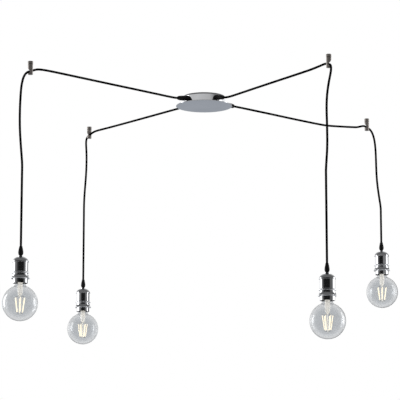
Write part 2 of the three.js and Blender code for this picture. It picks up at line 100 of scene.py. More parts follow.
# The strain reliefs in the rose's wall, which droop towards the place where each cable starts
cup_grip = Sizes(
    height=0.014, nut_start=0.0562, nut_radius=0.006, nut_length=0.004, nut_edge=0.0006,
    nut_face_share=0.8, neck_radius=0.0041, clearance=0.0002, flange_start=0.0626, flange_radius=0.0076,
    flange_length=0.0045, waist_radius=0.0073, tip_radius=0.0039, tip=0.102, mouth_gap=0.0003,
    mouth_depth=0.003, rib_count=5, rib_depth=0.0002, ribs_start=0.004, ribs_end=0.01, bend_length=0.008,
    sleeve_start=(0, 0.05), sleeve_end=(-0.01, 0.008),
    droops={1: radians(7.5), 2: radians(11), 3: radians(1), 4: radians(3.5)},
)

# Each cable's route past its grip and over its hook, as [along the hook's bearing, across it, up]
CABLE_ROUTES = {
    1: [
        (0.112, 0, -0.0198), (0.13, 0, -0.0201), (0.18, 0, -0.0196), (0.24, 0, -0.019),
        (0.31, 0, -0.0184), (0.38, 0, -0.0178), (0.45, 0, -0.0171), (0.51, 0, -0.0165),
        (0.56, 0, -0.0162), (0.59, 0, -0.0169), (0.607, 0, -0.019), (0.621, 0, -0.0242),
        (0.629, 0, -0.0274), (0.637, 0, -0.0306), (0.645, 0, -0.0371), (0.6516, 0, -0.048),
        (0.6564, 0, -0.064), (0.6593, 0, -0.084), (0.6608, 0, -0.107), (0.6617, 0, -0.132),
        (0.6619, 0, -0.158), (0.6612, 0, -0.184), (0.6594, 0, -0.21), (0.6568, 0, -0.236),
        (0.6541, 0, -0.26), (0.6522, 0, -0.278), (0.6515, 0, -0.29), (0.6515, 0, -0.3),
    ],
    2: [
        (0.112, 0, -0.023), (0.13, 0, -0.0246), (0.18, 0, -0.0251), (0.24, 0, -0.0251),
        (0.31, 0, -0.0252), (0.38, 0, -0.0254), (0.45, 0, -0.0256), (0.52, 0, -0.0254),
        (0.555, 0.0008, -0.0236), (0.575, 0.0022, -0.022), (0.5892, 0.0017, -0.0238),
        (0.597, 0, -0.027), (0.6048, -0.0017, -0.0302), (0.6106, -0.0034, -0.036),
        (0.6134, -0.0054, -0.0465), (0.613, -0.0079, -0.0605), (0.6108, -0.0104, -0.077),
        (0.6084, -0.0126, -0.096), (0.6068, -0.0144, -0.116), (0.6059, -0.0154, -0.138),
        (0.6056, -0.0154, -0.162), (0.6056, -0.0148, -0.188), (0.6056, -0.0145, -0.214),
        (0.6056, -0.0145, -0.24), (0.6051, -0.0152, -0.264), (0.6043, -0.0164, -0.286),
        (0.6036, -0.0175, -0.304), (0.6032, -0.0181, -0.318), (0.6032, -0.0181, -0.33),
    ],
    3: [
        (0.116, 0, -0.0149), (0.135, 0, -0.0151), (0.18, 0, -0.0156), (0.24, 0, -0.0163),
        (0.3, 0, -0.017), (0.36, 0, -0.0176), (0.42, 0, -0.0181), (0.47, 0, -0.0182),
        (0.5, 0, -0.0183), (0.518, 0, -0.0196), (0.533, 0, -0.0238), (0.541, 0, -0.027),
        (0.549, 0, -0.0303), (0.5546, 0, -0.0364), (0.5567, 0, -0.0458), (0.5561, 0, -0.0585),
        (0.5546, 0, -0.0755), (0.5536, 0, -0.094), (0.5537, 0, -0.115), (0.5546, 0, -0.138),
        (0.5568, 0, -0.163), (0.5596, 0, -0.188), (0.562, 0, -0.211), (0.5635, 0, -0.232),
        (0.564, 0, -0.249), (0.564, 0, -0.262),
    ],
    4: [
        (0.116, 0, -0.0171), (0.135, 0, -0.0183), (0.18, 0, -0.0214), (0.24, 0, -0.0256),
        (0.3, 0, -0.03), (0.36, 0, -0.034), (0.4, 0, -0.0364), (0.425, 0, -0.0372),
        (0.45, 0, -0.0364), (0.49, 0, -0.034), (0.52, 0, -0.0319), (0.537, 0, -0.0303),
        (0.549, 0, -0.0273), (0.558, 0, -0.0246), (0.567, 0, -0.0239), (0.575, 0, -0.027),
        (0.583, 0, -0.0302), (0.5905, 0, -0.0365), (0.597, 0, -0.047), (0.6015, 0, -0.061),
        (0.6045, 0, -0.078), (0.6062, 0, -0.098), (0.607, 0, -0.122), (0.6075, 0, -0.146),
        (0.6083, 0, -0.17), (0.6103, 0, -0.195), (0.6136, 0, -0.22), (0.6174, 0, -0.243),
        (0.6206, 0, -0.261), (0.622, 0, -0.274), (0.622, 0, -0.285),
    ],
}
NUMBERS = tuple(CABLE_ROUTES)


def middle(node):
    low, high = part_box(node)
    return (low + high) / 2


# Where each pendant is, read from the frame
BEARING = {n: atan2(*middle(f"ceiling_hook_{n}").yx) for n in NUMBERS}
LAMP_AXIS = {n: middle(f"lampholder_shell_{n}") for n in NUMBERS}
LAMP_RIM = {n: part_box(f"lampholder_shell_{n}")[0].z for n in NUMBERS}
JOINTS = {joint["name"]: joint for joint in frame["joints"]}


def up(height):
    return Vector((0, 0, height))


def outward(number):
    """Turns a point given along, across and above a pendant's bearing into the frame."""
    return Matrix.Rotation(BEARING[number], 4, "Z")


def lamp_place(number):
    """Puts a shape made about Z, with the lampholder's lower rim at 0, on its pendant."""
    axis = LAMP_AXIS[number]
    return Matrix.Translation((axis.x, axis.y, LAMP_RIM[number])) @ outward(number)


# Meshes

def mesh_object(name, vertices, faces):
    mesh = bpy.data.meshes.new(name)
    mesh.from_pydata(vertices, [], faces)
    shape = bmesh.new()
    shape.from_mesh(mesh)
    bmesh.ops.recalc_face_normals(shape, faces=shape.faces)
    shape.to_mesh(mesh)
    shape.free()
    obj = bpy.data.objects.new(name, mesh)
    scene.collection.objects.link(obj)
    return obj


def skin(name, rings, closed=False, first=None, last=None):
    """Joins rings of equally many points, as a ring of rings or with a middle point at each end."""
    count = len(rings[0])
    vertices = [point for ring in rings for point in ring]
    faces = []
    for i in range(len(rings) - (0 if closed else 1)):
        here, there = i * count, (i + 1) % len(rings) * count
        for j in range(count):
            k = (j + 1) % count
            faces.append((here + j, here + k, there + k, there + j))
    for apex, start in ((first, 0), (last, (len(rings) - 1) * count)):
        if apex is not None:
            vertices.append(apex)
            for j in range(count):
                faces.append((len(vertices) - 1, start + j, start + (j + 1) % count))
    return mesh_object(name, vertices, faces)


def shaded(obj):
    obj.data.shade_smooth()
    obj.data.set_sharp_from_angle(angle=SHARP_ANGLE)
    return obj


def rounded(points, radius, steps=3, closed=False):
    """The outline with a small arc at each corner that turns by more than a few degrees."""
    corners = [Vector(point) for point in points]
    open_end = 0 if closed else 1
    made = corners[:open_end]
    for i in range(open_end, len(corners) - open_end):
        corner = corners[i]
        before = corners[i - 1] - corner
        after = corners[(i + 1) % len(corners)] - corner
        if pi - before.angle(after) < ROUNDED_TURN:
            made.append(corner)
            continue
        start = corner + before.normalized() * min(radius, before.length * ROUNDED_SHARE)
        end = corner + after.normalized() * min(radius, after.length * ROUNDED_SHARE)
        made.append(corner + (start - corner) * SUPPORT_SHARE)
        for j in range(steps + 1):
            share = j / steps
            made.append(start * (1 - share) ** 2 + corner * 2 * share * (1 - share) + end * share ** 2)
        made.append(corner + (end - corner) * SUPPORT_SHARE)
    return made if closed else made + [corners[-1]]


def stairs(*values):
    """Points of an outline that goes out and up in turn: a radius, a height, a radius and so on."""
    pairs = enumerate(zip(values, values[1:]))
    return [(b, a) if i % 2 else (a, b) for i, (a, b) in pairs]


def on_axis(outline):
    """The outline with a point on the axis before it and after it, level with its ends."""
    return [(0, outline[0][1]), *outline, (0, outline[-1][1])]


def lathe(name, outline, segments, closed=False, swell=None):
    """Turns an outline of (radius, height) about Z. swell(angle, radius, height) may change a radius."""
    first = last = None
    points = [Vector(point) for point in outline]
    if not closed and points[0].x == 0:
        first = Vector((0, 0, points.pop(0).y))
    if not closed and points[-1].x == 0:
        last = Vector((0, 0, points.pop().y))
    rings = []
    for radius, height in points:
        ring = []
        for j in range(segments):
            angle = 2 * pi * j / segments
            reach = swell(angle, radius, height) if swell else radius
            ring.append(Vector((reach * cos(angle), reach * sin(angle), height)))
        rings.append(ring)
    return shaded(skin(name, rings, closed, first, last))


def hermite(start, start_pull, end, end_pull, steps):
    """Points of a smooth curve between two points that leaves and arrives along its pulls."""
    made = []
    for i in range(1, steps):
        t = i / steps
        made.append(
            Vector(start) * (2 * t ** 3 - 3 * t ** 2 + 1) + Vector(start_pull) * (t ** 3 - 2 * t ** 2 + t)
            + Vector(end) * (3 * t ** 2 - 2 * t ** 3) + Vector(end_pull) * (t ** 3 - t ** 2)
        )
    return made


def smooth_route(points, step):
    """A centripetal curve through the points, cut into steps."""
    ends = [2 * points[0] - points[1], *points, 2 * points[-1] - points[-2]]
    path = [points[0]]
    for a, b, c, d in zip(ends, ends[1:], ends[2:], ends[3:]):
        ab, bc, cd = (sqrt((q - p).length) for p, q in ((a, b), (b, c), (c, d)))
        leave = ((b - a) / ab - (c - a) / (ab + bc) + (c - b) / bc) * bc
        arrive = ((c - b) / bc - (d - b) / (bc + cd) + (d - c) / cd) * bc
        path += hermite(b, leave, c, arrive, max(2, round((c - b).length / step)))
        path.append(c)
    return path


def path_length(path):
    return sum((b - a).length for a, b in zip(path, path[1:]))


def tube(name, path, radius, sides, lay_from=0.0):
    """A round tube along a path. Its UV map holds the turn about the path and the length along it."""
    ways = [(b - a).normalized() for a, b in zip(path, path[1:])]
    ways = [ways[0]] + [(p + q).normalized() for p, q in zip(ways, ways[1:])] + [ways[-1]]
    side = ways[0].orthogonal().normalized()
    rings, lay = [], [lay_from]
    for i, (point, way) in enumerate(zip(path, ways)):
        if i:
            side = ways[i - 1].rotation_difference(way) @ side
            lay.append(lay[-1] + (point - path[i - 1]).length)
        across = way.cross(side)
        turns = [2 * pi * j / sides for j in range(sides)]
        rings.append([point + radius * (cos(t) * side + sin(t) * across) for t in turns])
    obj = skin(name, rings, first=path[0], last=path[-1])
    layer = obj.data.uv_layers.new(name="lay")
    for face in obj.data.polygons:
        columns = [obj.data.loops[k].vertex_index % sides for k in face.loop_indices]
        wraps = 0 in columns and sides - 1 in columns
        for k in face.loop_indices:
            index = obj.data.loops[k].vertex_index
            if index >= len(rings) * sides:
                layer.data[k].uv = (0.0, lay[0] if index == len(rings) * sides else lay[-1])
                continue
            column = index % sides
            turn = 1.0 if wraps and column == 0 else column / sides
            layer.data[k].uv = (turn, lay[index // sides])
    return shaded(obj)


def joined(name, objects):
    """One object from several, with their materials kept."""
    with bpy.context.temp_override(
        active_object=objects[0], selected_editable_objects=objects, object=objects[0],
    ):
        bpy.ops.object.join()
    objects[0].name = name
    return objects[0]


def cut(obj, tools):
    """Takes the tools' shapes out of obj and deletes the tools."""
    for tool in tools:
        step = obj.modifiers.new(tool.name, "BOOLEAN")
        step.operation = "DIFFERENCE"
        step.solver = "EXACT"
        step.object = tool
    bpy.context.view_layer.update()
    done = bpy.data.meshes.new_from_object(obj.evaluated_get(bpy.context.evaluated_depsgraph_get()))
    obj.modifiers.clear()
    obj.data = done
    for tool in tools:
        bpy.data.objects.remove(tool)
    return shaded(obj)


def moved(obj, matrix):
    obj.data.transform(matrix)
    return obj


def piece(obj, body, finish, *nodes):
    """Gives a shape its material and its body, and hides the CAD nodes that it stands for."""
    slot, material = finish
    obj.data.materials.clear()
    obj.data.materials.append(material)
    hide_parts(*nodes)
    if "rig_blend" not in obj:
        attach(obj, body)
    return obj


# Camera

def make_camera():
    data = bpy.data.cameras.new("camera")
    data.lens = CAMERA_LENS
    camera = bpy.data.objects.new("camera", data)
    camera.location = CAMERA_PLACE
    camera.rotation_euler = (pi / 2 + CAMERA_PITCH, 0, 0)
    scene.collection.objects.link(camera)
    scene.camera = camera


make_camera()


# Materials

class Graph:
    """Short ways to add nodes to a node tree."""

    def __init__(self, tree):
        self.nodes = tree.nodes
        self.links = tree.links

    def node(self, kind, inputs=(), **settings):
        made = self.nodes.new(kind)
        for name, value in settings.items():
            setattr(made, name, value)
        for key, value in dict(inputs).items():
            if isinstance(value, bpy.types.NodeSocket):
                self.links.new(value, made.inputs[key])
            else:
                made.inputs[key].default_value = value
        return made

    def show(self, share, low, high):
        """Shows one shader that turns into another as a share goes from 0 to 1."""
        mixed = self.node("ShaderNodeMixShader", {"Fac": share, 1: low, 2: high}).outputs[0]
        self.links.new(mixed, self.nodes["Material Output"].inputs["Surface"])

    def math(self, operation, *values):
        return self.node("ShaderNodeMath", enumerate(values), operation=operation).outputs[0]

    def shades(self, value, stops):
        """A grey or a colour that runs through stops of (place, shade) while a value goes from 0 to 1."""
        made = self.node("ShaderNodeValToRGB", {"Fac": value})
        elements = made.color_ramp.elements
        while len(elements) < len(stops):
            elements.new(1.0)
        for element, (place, shade) in zip(elements, stops):
            element.position = place
            element.color = (*shade, 1) if isinstance(shade, tuple) else (shade, shade, shade, 1)
        return made.outputs[0]

    def grow(self, value, start, end, low=0.0, high=1.0):
        """A number that goes from low to high while a value goes from start to end."""
        inputs = {"Value": value, "From Min": start, "From Max": end, "To Min": low, "To Max": high}
        return self.node("ShaderNodeMapRange", inputs).outputs[0]

    def blend(self, share, low, high):
        """One number or colour that turns into another as a share goes from 0 to 1."""
        made = self.node("ShaderNodeMix", data_type="RGBA")
        for value, socket in ((share, made.inputs[0]), (low, made.inputs[6]), (high, made.inputs[7])):
            if isinstance(value, bpy.types.NodeSocket):
                self.links.new(value, socket)
            else:
                socket.default_value = value
        return made.outputs[2]


class Surface(Graph):
    """A node material about one shader."""

    def __init__(self, name):
        self.material = bpy.data.materials.new(name)
        self.material.use_nodes = True
        super().__init__(self.material.node_tree)
        self.shader = self.nodes["Principled BSDF"]

    def set(self, values):
        for name, value in values.items():
            self.shader.inputs[name].default_value = value

    def place(self, stretch=(1, 1, 1)):
        """The point on the object, stretched for patterns that run one way."""
        here = self.node("ShaderNodeTexCoord").outputs["Object"]
        return self.node("ShaderNodeMapping", {"Vector": here, "Scale": stretch}).outputs[0]

    def noise(self, scale, detail=3, vector=None):
        inputs = {"Scale": scale, "Detail": detail, "Vector": vector or self.place()}
        return self.node("ShaderNodeTexNoise", inputs).outputs["Fac"]

    def link(self, name, socket):
        self.links.new(socket, self.shader.inputs[name])

    def vary(self, name, value, low, high, start=0.3, end=0.7):
        """Lets one of the shader's numbers or colours go from low to high with a value."""
        if isinstance(low, tuple):
            self.link(name, self.shades(value, [(start, low), (end, high)]))
        else:
            self.link(name, self.grow(value, start, end, low, high))

    def bump(self, height, strength, distance):
        inputs = {"Height": height, "Strength": strength, "Distance": distance}
        self.link("Normal", self.node("ShaderNodeBump", inputs).outputs[0])


# How deep the surfaces' grain is
GRAIN_DEPTH = 0.0003
WIPE_DEPTH = 0.0004

# The cables' braid
BRAID_STRANDS = 16
BRAID_PITCH = 0.0022
BRAID_DEPTH = 0.0005

# The globes' glass, and its colour as stops of how far its surface is turned from the line of sight
GLASS_IOR = 1.47
GLASS_UNEVENNESS = 0.04
# Grey where looked through squarely, a painted highlight on the flanks and painted shade along the outline
GLASS_TINT_AND_PAINTED_EDGES = [
    (0.0, (0.68, 0.695, 0.71)), (0.24, (0.70, 0.715, 0.73)), (0.36, (0.80, 0.81, 0.82)),
    (0.49, (0.95, 0.955, 0.96)), (0.58, (1.0, 1.0, 1.0)), (0.68, (1.0, 1.0, 1.0)),
    (0.8, (0.80, 0.81, 0.82)), (0.92, (0.30, 0.31, 0.32)), (1.0, (0.2, 0.2, 0.21)),
]


def chrome_finish():
    """Bright plating: faint wipe marks in the gloss and a slightly uneven polish."""
    made = Surface("chrome")
    made.set({"Metallic": 1.0})
    marks = made.noise(90, 6)
    made.vary("Base Color", made.noise(14, 2), (0.80, 0.815, 0.84), (0.87, 0.88, 0.90), 0.35, 0.65)
    made.vary("Roughness", marks, 0.035, 0.085, 0.35, 0.7)
    made.bump(marks, 0.05, WIPE_DEPTH)
    return made.material


def turned_steel_finish(name, dark, light, roughness, lines=2600):
    """Satin metal with fine rings from the lathe about its axis."""
    made = Surface(name)
    made.set({"Metallic": 1.0})
    rings = made.noise(1.0, 2, made.place((30, 30, lines)))
    mixed = made.math("MULTIPLY_ADD", rings, 0.6, made.math("MULTIPLY", made.noise(120), 0.4))
    made.vary("Base Color", mixed, dark, light)
    made.vary("Roughness", mixed, roughness - 0.07, roughness + 0.09)
    made.bump(rings, 0.12, GRAIN_DEPTH)
    return made.material


def black_plastic_finish():
    """Satin plastic with a fine grain."""
    made = Surface("black_plastic")
    made.set({"Specular IOR Level": 0.25})
    grain = made.noise(1400, 4)
    made.vary("Base Color", made.noise(60, 2), (0.003, 0.0031, 0.0034), (0.0075, 0.0078, 0.0085))
    made.vary("Roughness", grain, 0.4, 0.6)
    made.bump(grain, 0.2, GRAIN_DEPTH)
    return made.material


def textile_finish():
    """A black braid: two sets of slanting strands that pass over and under each other."""
    made = Surface("braided_textile")
    made.set({"Specular IOR Level": 0.04})
    lay = made.node("ShaderNodeUVMap", uv_map="lay").outputs[0]
    split = made.node("ShaderNodeSeparateXYZ", {"Vector": lay}).outputs
    turn = made.math("MULTIPLY", split["X"], BRAID_STRANDS / 2)
    run = made.math("DIVIDE", split["Y"], BRAID_PITCH)
    ways = [made.math(side, turn, run) for side in ("ADD", "SUBTRACT")]
    strands = [made.math("SINE", made.math("MULTIPLY", made.math("FRACT", way), pi)) for way in ways]
    cells = made.math("ADD", *[made.math("FLOOR", way) for way in ways])
    on_top = made.math("FLOORED_MODULO", cells, 2.0)
    height = made.node("ShaderNodeMix", {"Factor": on_top, "A": strands[0], "B": strands[1]}).outputs[0]
    fluff = made.noise(2200)
    # Random fluff tone, and painted shade: darker where the strands are low, in the grooves between them
    fluff_and_groove_shade = made.math("MULTIPLY_ADD", fluff, 0.35, made.math("MULTIPLY", height, 0.65))
    made.vary("Base Color", fluff_and_groove_shade, (0.0012, 0.0012, 0.0014), (0.0052, 0.0052, 0.0058), 0.2, 0.95)
    made.vary("Roughness", fluff, 0.82, 0.96)
    made.bump(fluff_and_groove_shade, 0.5, BRAID_DEPTH)
    return made.material


def ceramic_finish():
    """A pale insulating body with a soft gloss and fine specks."""
    made = Surface("pale_insulator")
    speck = made.noise(900, 4)
    made.vary("Base Color", speck, (0.74, 0.73, 0.70), (0.84, 0.83, 0.80), 0.35, 0.6)
    made.vary("Roughness", speck, 0.3, 0.5)
    made.bump(speck, 0.08, GRAIN_DEPTH)
    return made.material


def globe_glass_finish():
    """Blown glass, a little uneven: grey where it is looked through squarely, with a painted highlight on
    its flanks and painted shade along its outline."""
    made = Surface("clear_glass")
    made.set({"Transmission Weight": 1.0, "IOR": GLASS_IOR})
    ripple = made.noise(22, 2)
    tilt = made.node("ShaderNodeLayerWeight", {"Blend": 0.5}).outputs["Facing"]
    facing_with_ripple = made.math("MULTIPLY_ADD", ripple, GLASS_UNEVENNESS, tilt)
    # Base colour by facing: a painted highlight on the flanks and painted shade along the outline
    made.link("Base Color", made.shades(facing_with_ripple, GLASS_TINT_AND_PAINTED_EDGES))
    made.vary("Roughness", ripple, 0.005, 0.015, 0.35, 0.65)
    return made.material


def stem_finish():
    """The whitish tube and rod inside a bulb, with a painted glow that stands in for the light of the sticks
    on them.
    """
    made = Surface("stem_glass")
    made.set({"Transmission Weight": 0.2, "IOR": GLASS_IOR})
    # Painted glow: this emission stands in for the light of the sticks falling on the stem
    made.set({"Emission Color": (1.0, 0.93, 0.82, 1), "Emission Strength": 0.35})
    cloud = made.noise(160)
    made.vary("Base Color", cloud, (0.90, 0.90, 0.89), (0.97, 0.97, 0.96), 0.35, 0.65)
    made.vary("Roughness", cloud, 0.1, 0.25, 0.35, 0.65)
    return made.material


def glow_finish():
    """The lit coating of the sticks, a little brighter in places."""
    made = Surface("warm_glow")
    made.set({"Roughness": 0.6, "Base Color": (1.0, 0.86, 0.55, 1), "Emission Strength": 1.4})
    made.vary("Emission Color", made.noise(420, 2), (1.0, 0.85, 0.62), (1.0, 0.92, 0.78))
    return made.material


# Finishes, each as the record's material slot and the material
CHROME = "chrome", chrome_finish()
CERAMIC = "ceramic", ceramic_finish()
BRASS = "brass", turned_steel_finish("brass", (0.56, 0.40, 0.16), (0.72, 0.54, 0.24), 0.3, 500)
GLASS = "clear_glass", globe_glass_finish()
STEM_GLASS = "clear_glass", stem_finish()
GLOW = "filament", glow_finish()
NICKEL = "nickel", turned_steel_finish("dark_nickel", (0.23, 0.21, 0.197), (0.38, 0.348, 0.325), 0.34)
STEEL = "steel", turned_steel_finish("zinc_steel", (0.50, 0.505, 0.51), (0.66, 0.665, 0.67), 0.36, 400)
BLACK_PLASTIC = "black_plastic", black_plastic_finish()
TEXTILE = "textile", textile_finish()


# Cables

def pivot(joint):
    return Vector(JOINTS[joint]["pos_m"])


def sleeve_root():
    """The reach from the rose's middle that a drooping sleeve turns about."""
    return cup_grip.flange_start + cup_grip.flange_length / 2


def grip_mouth(number):
    """The place just past a sleeve's tip, along and above the bearing, where the cable starts."""
    droop = cup_grip.droops[number]
    reach = cup_grip.tip - sleeve_root() + cup_grip.mouth_gap
    return (sleeve_root() + reach * cos(droop), 0, -cup_grip.height - reach * sin(droop))


def cable_piece(name, path, lay_from, bodies, bend, node):
    """A free stretch of cable that turns from one body's way to the next one's over a bend."""
    made = tube(name, path, CABLE_RADIUS, CABLE_SIDES, lay_from)
    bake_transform(made, *bodies, *bend)
    piece(made, None, TEXTILE, node)


def make_cables(number):
    """The cable in two stretches, which meet just below the place where the lamp swings."""
    cable, holder = f"cable_{number}", f"holder_{number}"
    swing, tilt = pivot(f"cable_swing_{number}"), pivot(f"holder_tilt_{number}")
    points = [grip_mouth(number), *CABLE_ROUTES[number]]
    route = smooth_route([outward(number) @ Vector(point) for point in points], CABLE_STEP)
    meet = swing - up(SWING_OVERLAP)
    over = route + smooth_route([route[-1], meet], CABLE_STEP)[1:]
    bend = (swing + up(SWING_BEND), swing - up(SWING_BEND))
    cable_piece(f"cable_over_hook_{number}", over, 0.0, ("root", cable), bend, f"ceiling_cable_{number}")
    foot = Vector((tilt.x, tilt.y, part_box(f"lampholder_cord_grip_{number}")[1].z - GRIP_ENTRY))
    drop = smooth_route([meet, foot], CABLE_STEP)
    bend = (tilt + up(TILT_BEND_ABOVE), tilt - up(TILT_BEND_BELOW))
    length = path_length(over)
    cable_piece(f"cable_drop_{number}", drop, length, (cable, holder), bend, f"hanging_cable_{number}")


for number in NUMBERS:
    make_cables(number)


# Shapes that several sub-parts use

def brick(name, size, centre, bevel=SOFT_EDGE):
    """A box with rounded edges."""
    obj = mesh_object(name, [], [])
    shape = bmesh.new()
    bmesh.ops.create_cube(shape, size=1)
    place = Matrix.Translation(centre) @ Matrix.Diagonal((*size, 1))
    bmesh.ops.transform(shape, matrix=place, verts=shape.verts)
    bmesh.ops.bevel(shape, geom=shape.edges[:], offset=bevel, segments=3, affect="EDGES", profile=0.5)
    shape.to_mesh(obj.data)
    shape.free()
    return shaded(obj)


def rod(name, start, end, radius, segments=20, edge=FINE_EDGE):
    """A round bar between two points, with rounded ends."""
    start, way = Vector(start), Vector(end) - Vector(start)
    outline = rounded(stairs(0, 0, radius, way.length, 0), edge)
    turn = way.to_track_quat("Z", "Y").to_matrix().to_4x4()
    return moved(lathe(name, outline, segments), Matrix.Translation(start) @ turn)


def prism(name, outline, depth):
    """An outline in the XY plane, drawn out along Z both ways from its plane."""
    rings = [[Vector((x, y, z)) for x, y in outline] for z in (-depth / 2, depth / 2)]
    middle_point = sum(rings[0], Vector()) / len(outline)
    ends = [Vector((middle_point.x, middle_point.y, z)) for z in (-depth / 2, depth / 2)]
    return skin(name, rings, first=ends[0], last=ends[1])


def arc(radius, start, end, steps):
    turns = [start + (end - start) * i / steps for i in range(steps + 1)]
    return [(radius * cos(t), radius * sin(t)) for t in turns]


def levels(radius, low, high, step):
    """Points straight up at one radius, close enough together for a thread or a rib."""
    count = max(1, round((high - low) / step))
    return [(radius, low + (high - low) * i / count) for i in range(count + 1)]


def share_between(value, low, high):
    """How far a value is from low to high, as a share from 0 to 1."""
    return min(1, max(0, (value - low) / (high - low)))


def thread(pitch, depth, low, high):
    """A swell that cuts a screw thread, running out at both ends, between two heights."""
    def swell(angle, radius, height):
        run_out = min(1, max(0, (height - low) / pitch), max(0, (high - height) / pitch))
        turn = height / pitch - angle / (2 * pi)
        return radius - depth * run_out * (0.5 - 0.5 * cos(2 * pi * turn)) ** 1.5
    return swell


def only_at(radius, swell):
    """Limits a swell to an outline's points at one radius."""
    def limited(angle, here, height):
        return swell(angle, here, height) if abs(here - radius) < ROUNDING_ERROR else here
    return limited


def flutes(count, depth, low, high):
    """A swell that presses flutes between two heights, fading out at both ends."""
    def swell(angle, radius, height):
        share = share_between(height, low, high)
        return radius - depth * sin(pi * share) * (0.5 - 0.5 * cos(count * angle))
    return swell


# The ceiling rose

cup = Sizes(
    radius=0.062, depth=0.0262, wall=0.0012, edge=0.0014, boss_hole=0.0053,
    turn_in=0.0011, turn_in_height=0.0036,
)
disc = Sizes(
    radius=0.081, thickness=0.0015, gap=0.0003, edge=0.0005, boss_radius=0.005, boss_height=0.003,
)
bracket = Sizes(
    reach=0.0568, width=0.018, thickness=0.002, ear_depth=0.019, slot_reach=0.036, slot_radius=0.0022,
    slot_length=0.008, hole_radius=0.00224, screw_radius=0.002, screw_tip=0.0618, thread_pitch=0.0007,
    thread_depth=0.00025,
)
block = Sizes(
    length=0.03, width=0.016, height=0.012, body_share=0.8, top=-0.0023, edge=0.001, poles=3,
    well_radius=0.0033, well_depth=0.002, bore_share=0.62, screw_radius=0.0019, screw_share=0.4,
    lead_straight=0.012,
)


def make_cup():
    inner = cup.radius - cup.wall
    corners = stairs(cup.boss_hole, -cup.depth, cup.radius, -cup.turn_in_height)
    corners += [(cup.radius - cup.turn_in, 0), (inner - cup.turn_in, 0), (inner, -cup.turn_in_height)]
    corners += stairs(inner, cup.wall - cup.depth, cup.boss_hole)
    body = lathe("rose_cup", rounded(corners, cup.edge, steps=5, closed=True), 144, closed=True)
    near, far = inner - 2 * cup.wall, cup.radius + 2 * cup.wall
    level = Matrix.Translation(up(-cup_grip.height))
    holes = []
    for number in NUMBERS:
        hole = rod(f"grip_hole_{number}", (near, 0, 0), (far, 0, 0), cup_grip.neck_radius)
        holes.append(moved(hole, outward(number) @ level))
    for side in (1, -1):
        hole = rod(f"screw_hole_{side}", (side * near, 0, 0), (side * far, 0, 0), bracket.hole_radius)
        holes.append(moved(hole, level))
    piece(cut(body, holes), "root", CHROME, "canopy_cup")


def make_disc():
    top, boss = -cup.depth - disc.gap, disc.boss_radius
    corners = stairs(boss, top - disc.thickness, disc.radius, top, boss, top + disc.boss_height)
    outline = on_axis(rounded(corners, disc.edge, steps=4))
    piece(lathe("rose_disc", outline, 192), "root", CHROME, "canopy_disc")


def make_bracket():
    half = bracket.thickness / 2
    parts = [brick("strap", (2 * bracket.reach, bracket.width, bracket.thickness), up(-half))]
    for side in (1, -1):
        place = (side * (bracket.reach - half), 0, -bracket.ear_depth / 2)
        parts.append(brick("ear", (bracket.thickness, bracket.width, bracket.ear_depth), place))
    body = joined("mounting_bracket", parts)
    straight = bracket.slot_length / 2 - bracket.slot_radius
    right = [(x + straight, y) for x, y in arc(bracket.slot_radius, -pi / 2, pi / 2, 12)]
    left = [(x - straight, y) for x, y in arc(bracket.slot_radius, pi / 2, 3 * pi / 2, 12)]
    slots = []
    for side in (1, -1):
        slot = prism(f"slot_{side}", right + left, 4 * bracket.thickness)
        slots.append(moved(slot, Matrix.Translation((side * bracket.slot_reach, 0, -half))))
    piece(cut(body, slots), "root", STEEL, "ceiling_bracket")


def make_cup_screws():
    """The two screws through the bracket's ears that hold the cup."""
    length = bracket.screw_tip - bracket.reach + bracket.thickness
    outline = on_axis(levels(bracket.screw_radius, 0, length, bracket.thread_pitch / 6))
    cut_thread = thread(bracket.thread_pitch, bracket.thread_depth, 0, length)
    for side, name in ((1, "right"), (-1, "left")):
        screw = lathe(f"cup_screw_{name}", outline, 24, swell=cut_thread)
        start = Matrix.Translation((side * (bracket.screw_tip - length), 0, -cup_grip.height))
        moved(screw, start @ Matrix.Rotation(side * pi / 2, 4, "Y"))
        piece(screw, "root", STEEL, "ceiling_bracket")


def make_terminal_block():
    centre = up(block.top - block.height / 2)
    size = (block.length, block.width, block.height * block.body_share)
    parts, screws = [brick("block", size, centre, block.edge)], []
    pitch = block.length / block.poles
    foot = block.top - block.height
    top, head_foot = foot + 2 * block.well_depth, foot + block.well_depth * block.screw_share
    bore = block.well_radius * block.bore_share
    well_outline = rounded(stairs(bore, foot, block.well_radius, top, bore), FINE_EDGE, closed=True)
    for i in range(block.poles):
        x = (i - (block.poles - 1) / 2) * pitch
        for y in (-block.width / 4, block.width / 4):
            well = lathe("well", well_outline, 32, closed=True)
            parts.append(moved(well, Matrix.Translation((x, y, 0))))
            screws.append(rod("head", (x, y, head_foot), (x, y, top), block.screw_radius))
    piece(joined("terminal_block_body", parts), "root", CERAMIC, "terminal_block")
    piece(joined("terminal_screws", screws), "root", BRASS, "terminal_block")
    for number in NUMBERS:
        route = smooth_route([
            Vector((cup_grip.nut_start + cup_grip.nut_length / 2, 0, -cup_grip.height)),
            Vector((cup_grip.nut_start - block.lead_straight, 0, -cup_grip.height)),
            Vector((block.width, 0, centre.z)),
            Vector((block.width / 2, 0, centre.z)),
        ], CABLE_STEP)
        path = [outward(number) @ point for point in route]
        tail = tube(f"cable_tail_{number}", path, CABLE_RADIUS, CABLE_SIDES)
        piece(tail, "root", TEXTILE, "terminal_block")


